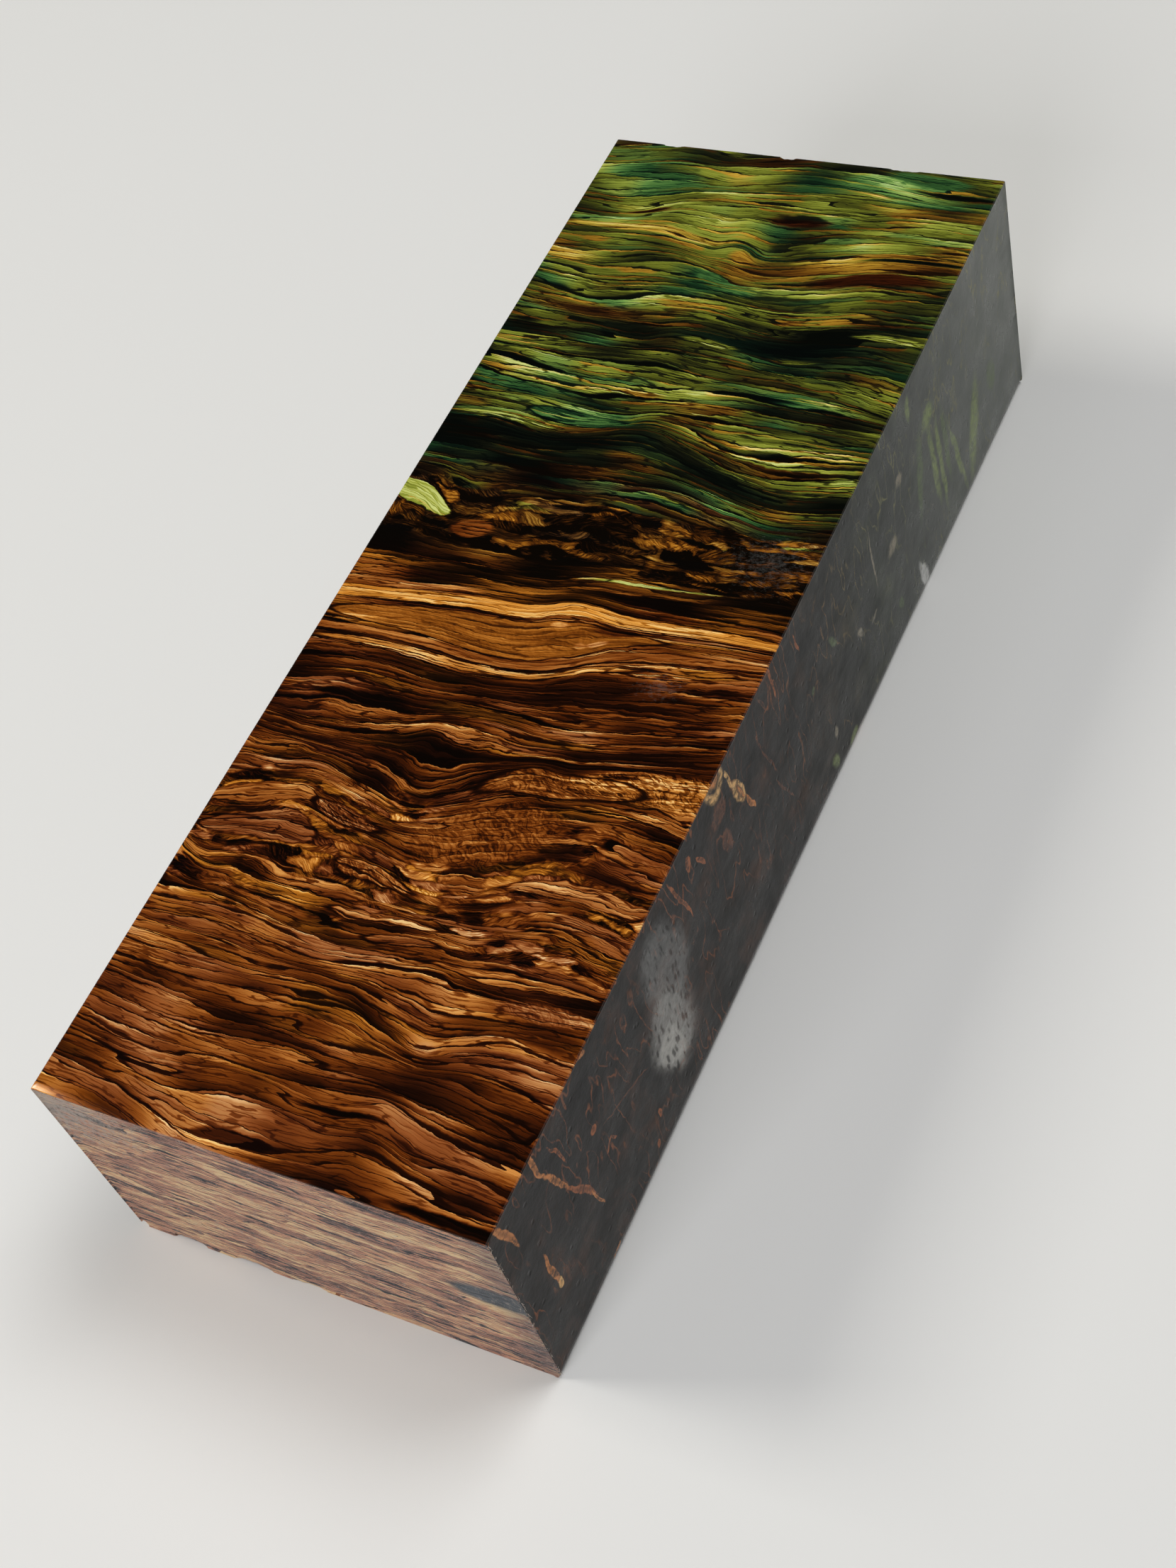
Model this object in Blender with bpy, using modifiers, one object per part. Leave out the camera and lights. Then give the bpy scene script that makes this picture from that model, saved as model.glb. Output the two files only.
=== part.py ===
# A block of stabilised wood, sawn to size: figured wood that was soaked through with dyed resin.
# Metres, +Z up. The origin is the middle of the face it rests on. X runs across the block, which is
# the way its fibres run, and Y runs along it, from the brown end at -Y to the green end at +Y.
import math
import random

import bpy

MM = 0.001

# The block's driving sizes
LENGTH = 128 * MM
WIDTH = 46 * MM
BROWN_END_THICKNESS = 27 * MM
GREEN_END_THICKNESS = 29 * MM

# How far each edge is eased. The lower right edge was sanded round, the others only lost their burr.
SANDED_EDGE = 1.2 * MM
CORNER_EDGE_SHARE = 0.35
CRISP_EDGE_SHARE = 0.15
EDGE_SEGMENTS = 3

# Where the saw broke the wood out. Each break is a facetted hollow: the point of an edge that it sits
# on, its half sizes along X, Y and Z, and how far it leans along that edge, in degrees.
HALF_LENGTH = LENGTH / 2
HALF_WIDTH = WIDTH / 2
BREAKS = {
    "brown_end_foot_left": ((-17.6 * MM, -HALF_LENGTH, 0), (2.9 * MM, 1.0 * MM, 1.3 * MM), 5),
    "brown_end_foot_middle": ((-9.6 * MM, -HALF_LENGTH, 0), (1.9 * MM, 0.9 * MM, 1.6 * MM), 14),
    "brown_end_foot_right": ((-4.6 * MM, -HALF_LENGTH, 0), (2.6 * MM, 0.5 * MM, 0.4 * MM), 0),
    "brown_end_foot_corner": ((-HALF_WIDTH, -HALF_LENGTH, 0), (0.9 * MM, 0.9 * MM, 1.1 * MM), 0),
    "right_foot": ((HALF_WIDTH, 11.4 * MM, 0), (0.8 * MM, 3.2 * MM, 1.0 * MM), 0),
    "left_foot_near": ((-HALF_WIDTH, -31.0 * MM, 0), (0.5 * MM, 2.4 * MM, 0.6 * MM), 0),
    "left_foot_far": ((-HALF_WIDTH, 38.5 * MM, 0), (0.7 * MM, 3.0 * MM, 0.8 * MM), 0),
    "green_end_foot_left": ((-14.2 * MM, HALF_LENGTH, 0), (2.4 * MM, 0.7 * MM, 0.9 * MM), -6),
    "green_end_foot_right": ((12.8 * MM, HALF_LENGTH, 0), (3.1 * MM, 0.9 * MM, 1.2 * MM), 4),
    "green_end_top_left": ((-15.9 * MM, HALF_LENGTH, GREEN_END_THICKNESS), (1.5 * MM, 0.35 * MM, 0.3 * MM), 0),
    "green_end_top_middle": ((-1.8 * MM, HALF_LENGTH, GREEN_END_THICKNESS), (1.1 * MM, 0.4 * MM, 0.35 * MM), 0),
    "green_end_top_right": ((11.6 * MM, HALF_LENGTH, GREEN_END_THICKNESS), (1.9 * MM, 0.3 * MM, 0.3 * MM), 0),
}
BREAK_ROUGHNESS = 0.16
BREAK_SEED = 41


def clear_scene():
    for obj in list(bpy.data.objects):
        bpy.data.objects.remove(obj, do_unlink=True)


def new_collection(name):
    collection = bpy.data.collections.new(name)
    bpy.context.scene.collection.children.link(collection)
    return collection


def move_to(obj, collection):
    for old in list(obj.users_collection):
        old.objects.unlink(obj)
    collection.objects.link(obj)


def stabilised_wood():
    material = bpy.data.materials.new("stabilised_wood")
    material.use_nodes = True
    shader = material.node_tree.nodes["Principled BSDF"]
    shader.inputs["Base Color"].default_value = (0.17, 0.075, 0.03, 1)
    shader.inputs["Roughness"].default_value = 0.3
    shader.inputs["Metallic"].default_value = 0
    return material


def thickness_at(y):
    share = (y + HALF_LENGTH) / LENGTH
    return BROWN_END_THICKNESS + share * (GREEN_END_THICKNESS - BROWN_END_THICKNESS)


def sawn_blank(collection):
    """A box whose top face rises a little towards the green end."""
    bpy.ops.mesh.primitive_cube_add(size=1, location=(0, 0, 0))
    block = bpy.context.object
    block.name = "wood_block"
    move_to(block, collection)
    for corner in block.data.vertices:
        corner.co.x = math.copysign(HALF_WIDTH, corner.co.x)
        corner.co.y = math.copysign(HALF_LENGTH, corner.co.y)
        corner.co.z = thickness_at(corner.co.y) if corner.co.z > 0 else 0
    return block


def edge_share(start, end):
    """How much of the sanded edge's width this edge is eased by."""
    middle = (start + end) / 2
    if middle.x > 0 and middle.z == 0 and middle.y == 0:
        return 1
    if middle.x > 0 and middle.y < 0 and middle.z > 0 and start.x == end.x:
        return CORNER_EDGE_SHARE
    return CRISP_EDGE_SHARE


def ease_edges(block):
    points = block.data.vertices
    weights = block.data.attributes.new("bevel_weight_edge", "FLOAT", "EDGE")
    for edge in block.data.edges:
        start, end = (points[i].co for i in edge.vertices)
        weights.data[edge.index].value = edge_share(start, end)
    bevel = block.modifiers.new("eased_edges", "BEVEL")
    bevel.limit_method = "WEIGHT"
    bevel.width = SANDED_EDGE
    bevel.segments = EDGE_SEGMENTS


def break_cutter(name, place, half_sizes, lean, shapes, collection):
    """An uneven pebble that takes one break out of an edge."""
    bpy.ops.mesh.primitive_ico_sphere_add(subdivisions=2, radius=1, location=(0, 0, 0))
    cutter = bpy.context.object
    cutter.name = name + "_cutter"
    move_to(cutter, collection)
    for point in cutter.data.vertices:
        point.co *= 1 + shapes.uniform(-BREAK_ROUGHNESS, BREAK_ROUGHNESS)
        point.co.x *= half_sizes[0]
        point.co.y *= half_sizes[1]
        point.co.z *= half_sizes[2]
    cutter.location = place
    cutter.rotation_euler = (0, math.radians(lean), 0)
    cutter.hide_render = True
    cutter.display_type = "WIRE"
    return cutter


def break_out(block, collection):
    shapes = random.Random(BREAK_SEED)
    for name, (place, half_sizes, lean) in BREAKS.items():
        cutter = break_cutter(name, place, half_sizes, lean, shapes, collection)
        cut = block.modifiers.new(name, "BOOLEAN")
        cut.operation = "DIFFERENCE"
        cut.object = cutter


def main():
    clear_scene()
    parts = new_collection("stabilised_wood_block")
    cutters = new_collection("break_cutters")
    block = sawn_blank(parts)
    block.data.materials.append(stabilised_wood())
    ease_edges(block)
    break_out(block, cutters)


main()
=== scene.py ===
import functools
import math
import random

import bpy
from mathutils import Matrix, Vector


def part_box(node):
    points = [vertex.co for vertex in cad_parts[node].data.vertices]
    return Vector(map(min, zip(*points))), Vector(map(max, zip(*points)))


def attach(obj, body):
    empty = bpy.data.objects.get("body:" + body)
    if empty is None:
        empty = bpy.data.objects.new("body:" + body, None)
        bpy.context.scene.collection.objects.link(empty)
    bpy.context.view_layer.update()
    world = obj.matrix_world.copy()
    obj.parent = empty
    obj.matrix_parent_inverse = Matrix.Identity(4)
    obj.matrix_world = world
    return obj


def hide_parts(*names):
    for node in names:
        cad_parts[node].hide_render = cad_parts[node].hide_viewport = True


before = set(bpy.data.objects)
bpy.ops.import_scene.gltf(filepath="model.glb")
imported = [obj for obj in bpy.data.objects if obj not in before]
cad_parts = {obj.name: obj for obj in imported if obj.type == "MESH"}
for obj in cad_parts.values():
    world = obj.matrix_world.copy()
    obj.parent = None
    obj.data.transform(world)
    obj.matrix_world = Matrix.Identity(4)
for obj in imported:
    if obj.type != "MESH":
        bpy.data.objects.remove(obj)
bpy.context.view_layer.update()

millimetre = 0.001

# The block as the frame gives it: X across it, Y along it from the brown end to the green end
lowCorner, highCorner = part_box("wood_block")
halfLength = (highCorner.y - lowCorner.y) / 2 / millimetre


# Small helpers

def linearColour(hexCode):
    # sRGB hex to the linear values that a shader wants
    channels = [int(hexCode[place:place + 2], 16) / 255 for place in (1, 3, 5)]
    linear = [c / 12.92 if c <= 0.04045 else ((c + 0.055) / 1.055) ** 2.4 for c in channels]
    return (*linear, 1.0)


# settings that many nodes share
smooth = {"interpolation_type": "SMOOTHSTEP"}
ellipsoid = {"out": 1, "gradient_type": "SPHERICAL"}
allThree = (0, 1, 2)  # outputs


def addNode(tree, kind, *values, to=None, out=0, stops=None, points=None, **settings):
    # kind may end in the node's operation. values fill the inputs in order, to fills them by name or number;
    # a socket is linked, anything else is set.
    kind, *operation = kind.split()
    node = tree.nodes.new("ShaderNode" + kind)
    if operation:
        node.operation = operation[0]
    for name, value in settings.items():
        setattr(node, name, value)
    for name, value in [*enumerate(values), *(to or {}).items()]:
        if isinstance(value, bpy.types.NodeSocket):
            tree.links.new(value, node.inputs[name])
        elif isinstance(value, str):
            node.inputs[name].default_value = linearColour(value)
        else:
            node.inputs[name].default_value = value
    for index, (place, colour) in enumerate(stops or []):  # a colour ramp's stops
        ramp = node.color_ramp
        stop = ramp.elements[index] if index < 2 else ramp.elements.new(place)
        stop.position = place
        stop.color = linearColour(colour)
    if points:  # a float curve's points
        curve = node.mapping.curves[0]
        for index, (place, height) in enumerate(points):
            point = curve.points[index] if index < 2 else curve.points.new(place, height)
            point.location = (place, height)
            point.handle_type = "AUTO"
        node.mapping.update()
    if isinstance(out, tuple):
        return [node.outputs[index] for index in out]
    return node.outputs[out] if node.outputs else None


def emptyTree(owner):
    # clears the nodes of a material or of the world, and gives the function that adds its own
    owner.use_nodes = True
    owner.node_tree.nodes.clear()
    return functools.partial(addNode, owner.node_tree)


def newMaterial(name):
    material = bpy.data.materials.new(name)
    return material, emptyTree(material)


def finishMaterial(add, surface):
    add("OutputMaterial", add("BsdfPrincipled", to=surface))


def placeInMillimetres(add):
    objectPlace = add("TexCoord", out="Object")
    return add("VectorMath SCALE", objectPlace, to={"Scale": 1 / millimetre})


def alongBlock(add, y, profile):
    # a value that changes along the block, from (place in mm, value) pairs
    share = add("MapRange", y, -halfLength, halfLength)
    points = [((place + halfLength) / (2 * halfLength), value) for place, value in profile]
    return add("FloatCurve", 1.0, share, points=points)


def noiseOver(add, place, *size, detail=2.0, roughness=0.5, distortion=0.0, out=0):
    # a noise whose grain is as long as size says, in mm: flat from two sizes, solid from three
    scale = [*(1 / length for length in size), 0.0][:3]
    scaled = add("VectorMath MULTIPLY", place, scale)
    return add("TexNoise", to={"Vector": scaled, "Scale": 1.0, "Detail": detail, "Roughness": roughness,
                               "Distortion": distortion}, out=out, noise_dimensions=f"{len(size)}D")


def shiftByNoise(add, place, look, strength=None, detail=2.0):
    # pushes the places about by a stretched noise, sizes in mm
    noise = noiseOver(add, place, *look["size"], detail=detail, out=1)
    centred = add("VectorMath SUBTRACT", noise, (0.5, 0.5, 0.5))
    shift = add("VectorMath MULTIPLY", centred, look["shift"])
    if strength is not None:
        shift = add("VectorMath SCALE", shift, to={"Scale": strength})
    return add("VectorMath ADD", place, shift)


def insideEllipse(add, place, middle, reach, lean=0):
    # 1 in the middle of an ellipse, falling to 0 at its rim, in mm; one given flat goes right through
    local = add("Mapping", place, (*middle, 0.0)[:3], (0, 0, math.radians(lean)),
                (*reach, 1.0e4)[:3], vector_type="TEXTURE")
    return add("TexGradient", local, **ellipsoid)


def layOver(add, colour, *coats):
    # lays colours over one another, each by its share
    for share, tint in coats:
        colour = add("Mix", to={0: share, 6: colour, 7: tint}, out=2, data_type="RGBA")
    return colour


def productOf(add, value, *factors):
    # multiplies a value by each of the others in turn
    for factor in factors:
        value = add("Math MULTIPLY", value, factor)
    return value


def addShares(add, total, *parts):
    # adds noises and the like about their middle, each as much as the number before it says
    for amount, part in parts:
        shifted = add("Math SUBTRACT", part, 0.5)
        total = add("Math MULTIPLY_ADD", shifted, amount, total)
    return total


def takeAway(add, value, share):
    # what is left of a value when a share of it is taken away
    kept = add("Math SUBTRACT", 1.0, share)
    return add("Math MULTIPLY", value, kept)


def linesOf(add, noise, count):
    # how far each spot is from the nearest of the contour lines of a noise
    level = add("Math MULTIPLY", noise, count)
    return add("Math PINGPONG", level, 0.5)


# Materials

figureLook = {
    # swirls that bend the layers, sizes and shifts in mm
    "broad": {"size": (26.0, 9.0, 16.0), "shift": (4.0, 0.9, 3.0)},
    "middle": {"size": (6.0, 2.4, 4.0), "shift": (2.6, 1.7, 1.2)},
    "fine": {"size": (1.7, 0.7, 1.5), "shift": (0.6, 0.34, 0.3)},
    "ragged": {"size": (0.5, 0.28, 1.0), "shift": (0.2, 0.11, 0.0)},
    # layers: mean thickness, how far they pinch and swell, over what size, and how long a tone runs
    "ribbon": {"thickness": 1.5, "swell": 1.8, "size": (24.0, 3.0), "run": 15.0, "seed": 0.0},
    "strand": {"thickness": 0.58, "swell": 2.5, "size": (15.0, 1.5), "run": 10.0, "seed": 71.3},
    "thread": {"thickness": 0.22, "swell": 2.3, "size": (9.0, 0.7), "run": 7.0, "seed": 38.9},
    "fibre": (7.0, 0.10),
    "crease": (1.7, 0.5),  # wrinkles, which lie at an angle of creaseTurn radians
    "creaseTurn": 0.6,
    # chips of wood that lie every way, where the figure is broken up: size in mm, and how far they turn
    "chip": {"size": (3.2, 0.75), "turn": 1.5, "grain": (2.0, 0.15), "patch": (6.0, 2.4)},
    "chipBend": {"size": (2.4, 1.1, 4.0), "shift": (3.0, 1.7, 0.0)},
    # thin dark lines that run round some layers, how many and how wide
    "cracks": {"size": (13.0, 1.1), "lines": 5.0, "width": 0.10},
    "outlined": 0.3,  # placed layers with a rim no softer than this have a dark outline
    # where the green dye starts, in mm along the block, and how much further it reached into the pale strands
    "dye": (15.0, 22.0),
    "dyeReach": 14.0,
}

# How the figure changes along the block, as (place in mm, value) pairs
alongLook = {
    # how closely the layers lie, against the thicknesses above
    "crowding": [(-64, 0.60), (-50, 0.64), (-42, 0.90), (-30, 1.0), (-16, 1.1), (2, 1.0), (16, 0.85),
                 (30, 0.75), (64, 0.68)],
    # how much of the wood is broken into chips
    "chipped": [(-64, 0.0), (-46, 0.08), (-40, 0.40), (-34, 0.56), (-27, 0.5), (-22, 0.12), (-15, 0.05),
                (0.5, 0.0), (3.5, 0.5), (8, 0.72), (11, 0.5), (15, 0.1), (64, 0.05)],
    # how far the layers are folded
    "broken": [(-64, 0.26), (-50, 0.28), (-44, 0.6), (-34, 1.0), (-24, 1.0), (-17, 0.5), (-10, 0.25),
               (-2, 0.12), (3, 0.55), (8, 1.0), (12, 0.5), (20, 0.2), (64, 0.22)],
    # how light the wood is
    "bright": [(-62, 0.42), (-56, 0.42), (-48, 0.47), (-40, 0.44), (-32, 0.43), (-24, 0.32), (-17, 0.34),
               (-11, 0.33), (-6, 0.54), (-2, 0.42), (0, 0.24), (5, 0.15), (11, 0.26), (17, 0.22), (23, 0.42),
               (29, 0.43), (36, 0.28), (42, 0.50), (52, 0.57), (60, 0.54)],
    # how strong the strands and threads show, less towards the green end
    "contrast": [(-64, 0.62), (-46, 0.66), (-38, 0.78), (20, 0.78), (28, 0.66), (40, 0.56), (64, 0.52)],
    # how strong the threads and fibres are against the broader layers
    "fineness": [(-64, 0.5), (-46, 0.6), (-36, 1.0), (14, 1.0), (40, 0.8), (64, 0.7)],
    # how much of the green dye the wood took at least, and how much more golden it is
    "tinged": [(-64, 0.0), (0, 0.0), (3.5, 0.32), (11, 0.32), (15, 0.0), (64, 0.0)],
    "golden": [(-64, -0.12), (-44, -0.10), (-34, 0.0), (-4, 0.0), (0, 0.3), (8, 0.3), (12, 0.0), (28, -0.08),
               (38, -0.12), (46, -0.03), (56, -0.04), (64, -0.08)],
    # how deep the gaps between the ribbons are
    "gaps": [(-64, 0.7), (-46, 0.8), (-38, 1.0), (36, 1.0), (44, 0.55), (64, 0.45)],
}

# Guide lines of the grain: the height that each has in the straightened figure, and where it runs on
# the polished face, as (across, along) in mm
grainGuides = [
    (-62.0, [(-23, -60.4), (-16, -60.9), (-11, -62.2), (-6, -63.4), (8, -62.2), (23, -62.4)]),
    (-57.5, [(-23, -57.3), (-12, -57.8), (-4, -56.9), (5, -57.3), (9, -56.6), (14, -58.2), (23, -59.1)]),
    (-54.0, [(-23, -53.2), (-11, -54.4), (0, -54.1), (11, -53.1), (23, -54.6)]),
    (-48.0, [(-23, -47.7), (-11, -47.5), (0, -47.0), (6, -48.8), (10, -49.7), (15, -47.9), (23, -47.5)]),
    (-42.5, [(-23, -43.0), (-14, -42.6), (-4, -43.7), (6, -41.9), (14, -41.7), (23, -41.0)]),
    (-38.0, [(-23, -37.0), (-20, -38.6), (-16, -38.4), (-12, -39.0), (-4, -38.9), (2, -38.2), (8, -38.3),
             (15, -36.9), (23, -37.6)]),
    (-33.0, [(-23, -34.6), (-18, -33.2), (-14, -31.9), (-9, -32.4), (-3, -33.2), (2, -34.6), (8, -33.2),
             (12, -31.9), (17, -31.4), (23, -31.6)]),
    (-28.0, [(-23, -29.8), (-18, -28.3), (-14, -27.4), (-10, -28.6), (-3, -29.6), (1, -28.8), (5, -27.2),
             (9, -25.7), (15, -24.9), (23, -25.6)]),
    (-22.5, [(-23, -22.9), (-14, -23.4), (-8, -24.0), (-4, -25.8), (-1, -25.0), (2, -22.9), (6, -20.6),
             (10, -20.7), (15, -19.8), (23, -18.9)]),
    (-18.0, [(-23, -20.7), (-14, -20.5), (-8, -19.4), (-5, -18.2), (0, -17.8), (6, -18.0), (17, -16.2),
             (23, -14.9)]),
    (-14.5, [(-23, -16.2), (-17, -15.1), (-8, -15.3), (0, -14.7), (8, -14.2), (23, -12.0)]),
    (-10.0, [(-23, -11.1), (-14, -10.4), (-4, -10.7), (2, -10.2), (7, -8.2), (17, -6.4), (23, -5.1)]),
    (-7.6, [(-23, -8.8), (-12, -8.4), (-2, -8.9), (4, -7.3), (9, -4.9), (17, -3.9), (23, -3.4)]),
    (-3.0, [(-23, -5.5), (-8, -3.5), (-2, -3.1), (2, -1.7), (8, -2.4), (17, -2.1), (23, -2.2)]),
    (2.5, [(-23, 1.3), (-12, 1.2), (-3, 1.6), (4, 2.4), (10, 2.8), (17, 3.5), (23, 4.0)]),
    (8.0, [(-23, 9.5), (-20, 8.9), (-16, 6.9), (-10, 7.5), (0, 8.0), (10, 7.0), (23, 8.5)]),
    (13.5, [(-23, 14.0), (-11, 14.2), (0, 14.4), (6, 14.4), (13, 12.7), (17, 11.8), (23, 12.7)]),
    (20.0, [(-23, 20.3), (-17, 20.5), (-10, 19.8), (-4, 21.1), (0, 21.6), (8, 18.9), (15, 17.6), (23, 18.9)]),
    (23.5, [(-23, 23.2), (-14, 23.2), (-4, 22.5), (0, 23.8), (8, 22.9), (15, 23.4), (23, 23.6)]),
    (26.8, [(-23, 27.4), (-17, 26.9), (-10, 26.3), (-2, 26.0), (6, 26.9), (13, 26.7), (23, 26.5)]),
    (31.0, [(-23, 31.2), (-14, 31.2), (-5, 31.9), (2, 30.7), (10, 30.5), (17, 30.0), (23, 28.7)]),
    (34.5, [(-23, 34.5), (-14, 34.3), (-7, 33.6), (-3, 35.0), (4, 34.5), (10, 34.0), (17, 35.0), (23, 34.8)]),
    (39.8, [(-23, 39.7), (-14, 38.6), (-5, 39.7), (0, 39.9), (8, 39.0), (15, 40.6), (23, 41.2)]),
    (45.0, [(-23, 44.8), (-16, 44.8), (-8, 46.1), (0, 44.4), (6, 44.8), (10, 46.0), (15, 47.6), (23, 48.0)]),
    (49.5, [(-23, 49.7), (-12, 50.2), (-5, 48.6), (-2, 49.2), (2, 47.9), (8, 49.5), (15, 51.0), (23, 51.2)]),
    (56.0, [(-23, 53.9), (-16, 53.6), (-10, 56.2), (-3, 56.9), (4, 57.3), (15, 57.3), (23, 57.3)]),
    (60.0, [(-23, 58.4), (-14, 60.0), (-8, 59.5), (-3, 60.0), (2, 60.9), (8, 60.7), (16, 59.8), (23, 59.5)]),
]
# Knots and lumps that the layers part round: (across, along), (half length, half height), how far they part
grainKnots = [
    ((4.7, -5.6), (3.2, 2.6), 0.75),
    ((-1.1, 48.2), (4.0, 2.8), 0.8),
    ((-6.5, 60.8), (3.2, 2.8), 0.8),
    ((-15.4, 55.3), (4.6, 3.0), 0.7),
    ((10.0, 30.5), (6.0, 2.2), 0.5),
    ((-8.5, 8.0), (3.2, 3.0), 0.8),
    ((8.0, 7.5), (4.2, 3.0), 0.8),
]

# Layers with a place of their own in the straightened figure: middle and half sizes in mm, then (tone, hue,
# dyed), and how soft the rim is, as a share of the half height. Tone runs from 0, a black gap, to 1, the
# palest. Hue runs from 0, pinkish or teal, to 1, golden or rusty. Dyed is 1 where the wood took the green
# dye. Some rows add how wrinkled the layer is, and how calm.
placedLayers = [
    # the brown half, from the sawn brown end
    ((19.0, -62.8), (8.0, 0.6), (0.0, 0.5, 0), 0.5), ((6.0, -57.6), (5.5, 0.34), (0.0, 0.5, 0), 0.6),
    ((17.5, -47.6), (7.0, 0.9), (0.74, 0.5, 0), 0.8), ((9.6, -48.0), (2.4, 1.3), (0.8, 0.2, 0), 0.8),
    ((-15.6, -42.4), (6.5, 1.1), (0.54, 0.2, 0), 0.7), ((-10.0, -39.6), (3.4, 0.8), (0.62, 0.3, 0), 0.7),
    ((-20.5, -37.6), (5.0, 0.5), (0.62, 0.9, 0), 0.4), ((-16.5, -33.0), (6.5, 1.6), (0.48, 0.15, 0), 0.15),
    ((-18.5, -29.2), (7.0, 1.3), (0.6, 0.5, 0), 0.15, 0, 0.3),
    ((-15.0, -28.4), (3.0, 0.7), (0.84, 0.6, 0), 0.5),
    ((5.5, -28.5), (8.5, 3.4), (0.45, 0.62, 0), 0.35, 0.75, 0.45),
    # plates torn loose where the brown half is broken up
    ((18.5, -44.3), (6.5, 1.1), (0.55, 0.15, 0), 0.5, 0.4),
    ((14.5, -42.0), (9.5, 0.65), (0.64, 0.4, 0), 0.25), ((3.0, -40.3), (4.5, 0.7), (0.58, 0.25, 0), 0.3),
    ((0.0, -38.4), (6.5, 0.55), (0.72, 0.3, 0), 0.3), ((17.6, -37.4), (3.0, 1.0), (0.5, 0.7, 0), 0.6),
    ((7.0, -37.0), (7.0, 0.4), (0.48, 0.2, 0), 0.3), ((19.0, -35.7), (5.0, 0.8), (0.5, 0.2, 0), 0.5),
    ((8.0, -35.0), (6.0, 0.6), (0.06, 0.4, 0), 0.8), ((-3.0, -34.6), (5.5, 1.0), (0.52, 0.35, 0), 0.3, 0.5),
    ((15.8, -33.1), (8.0, 0.85), (0.62, 0.3, 0), 0.25), ((18.5, -31.4), (6.5, 0.8), (0.08, 0.2, 0), 0.8),
    ((-8.5, -29.6), (4.8, 1.5), (0.4, 0.2, 0), 0.3, 0.7), ((-1.2, -27.4), (3.0, 0.5), (0.66, 0.5, 0), 0.3),
    # the dark bed under the golden patch, and the patch
    ((10.0, -19.9), (16.0, 0.7), (0.02, 0.5, 0), 0.6),
    ((10.0, -23.2), (8.5, 1.9), (0.5, 0.62, 0), 0.2, 0.7, 0.3),
    ((20.0, -22.3), (11.0, 2.5), (0.64, 0.7, 0), 0.35, 0.9, 0.3),
    ((13.0, -22.3), (8.0, 0.5), (0.86, 0.65, 0), 0.9, 0.5),
    ((20.0, -21.5), (6.0, 0.7), (0.92, 0.6, 0), 0.9, 0.5), ((15.5, -21.3), (2.2, 0.6), (0.1, 0.6, 0), 0.8),
    ((-1.5, -19.6), (7.0, 0.6), (0.03, 0.5, 0), 0.9), ((-14.0, -15.7), (6.5, 0.5), (0.0, 0.5, 0), 0.4),
    ((10.0, -12.2), (18.0, 2.6), (0.1, 0.5, 0), 1.0), ((-6.0, -9.9), (21.0, 0.62), (0.74, 0.72, 0), 0.3),
    ((0.0, -8.5), (60.0, 0.62), (0.6, 0.4, 0), 0.2, 0, 0.4),
    ((0.0, -9.15), (60.0, 0.13), (0.08, 0.5, 0), 0.6),
    ((-5.0, -5.9), (18.5, 2.0), (0.56, 0.76, 0), 0.1, 0.16, 0.45),
    ((-19.0, -6.7), (4.2, 0.75), (0.84, 0.75, 0), 0.8), ((7.4, -4.6), (3.6, 0.9), (0.24, 0.6, 0), 0.5),
    ((1.4, -4.5), (1.3, 0.34), (0.9, 0.6, 0), 0.5), ((4.4, -6.2), (0.8, 0.5), (0.78, 0.6, 0), 0.5),
    ((5.9, -6.2), (1.2, 0.42), (0.86, 0.3, 0), 0.4),
    ((0.0, -2.75), (70.0, 0.85), (0.87, 1.0, 0), 0.12, 0, 0.45),
    ((-12.0, -3.72), (13.0, 0.2), (0.03, 0.5, 0), 0.5), ((14.0, -3.9), (13.0, 0.16), (0.05, 0.5, 0), 0.5),
    # where brown and green meet
    ((7.5, 2.3), (10.0, 0.3), (0.96, 0.5, 1), 0.5), ((-12.8, 6.3), (2.6, 1.6), (0.45, 0.4, 0), 0.35),
    ((-21.0, 7.9), (5.4, 1.3), (0.94, 0.45, 1), 0.15, 0, 0.7),
    # the green half
    ((-12.0, 18.2), (17.0, 1.3), (0.0, 0.3, 1), 0.6), ((10.0, 17.6), (15.0, 2.2), (0.06, 0.3, 1), 0.8),
    ((-16.5, 20.2), (8.0, 0.4), (0.95, 0.5, 1), 0.5), ((12.5, 23.8), (9.0, 1.1), (0.56, 0.55, 1), 0.9),
    ((-8.5, 22.3), (6.5, 1.2), (0.5, 0.0, 1), 0.2), ((16.0, 22.7), (10.0, 0.55), (0.84, 0.6, 1), 0.4),
    ((17.0, 21.5), (9.0, 0.4), (0.78, 0.6, 1), 0.4), ((10.0, 35.6), (17.0, 2.6), (0.05, 0.2, 1), 0.9),
    ((0.5, 34.6), (4.2, 0.5), (0.74, 0.5, 1), 0.4), ((10.5, 34.4), (3.6, 0.5), (0.68, 0.5, 1), 1.0),
    ((19.5, 37.8), (4.5, 0.5), (0.8, 0.4, 1), 0.4), ((-14.0, 37.8), (12.0, 1.6), (0.2, 0.5, 0.3), 0.9),
    ((14.5, 44.8), (8.5, 1.1), (0.18, 0.3, 0), 0.5), ((-1.1, 48.2), (2.6, 1.2), (0.62, 1.0, 1), 1.0),
    ((18.0, 48.3), (7.0, 0.5), (0.02, 0.3, 1), 0.5), ((-13.0, 50.0), (13.0, 1.0), (0.84, 0.78, 1), 0.4),
    ((3.0, 53.6), (4.5, 0.6), (0.18, 0.3, 0), 0.6), ((-14.5, 54.2), (3.0, 0.6), (0.18, 0.4, 0), 0.6),
    ((15.0, 62.6), (7.0, 1.2), (0.5, 0.1, 1), 0.5), ((19.0, 60.8), (7.0, 0.5), (0.06, 0.4, 1), 0.6),
]

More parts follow.
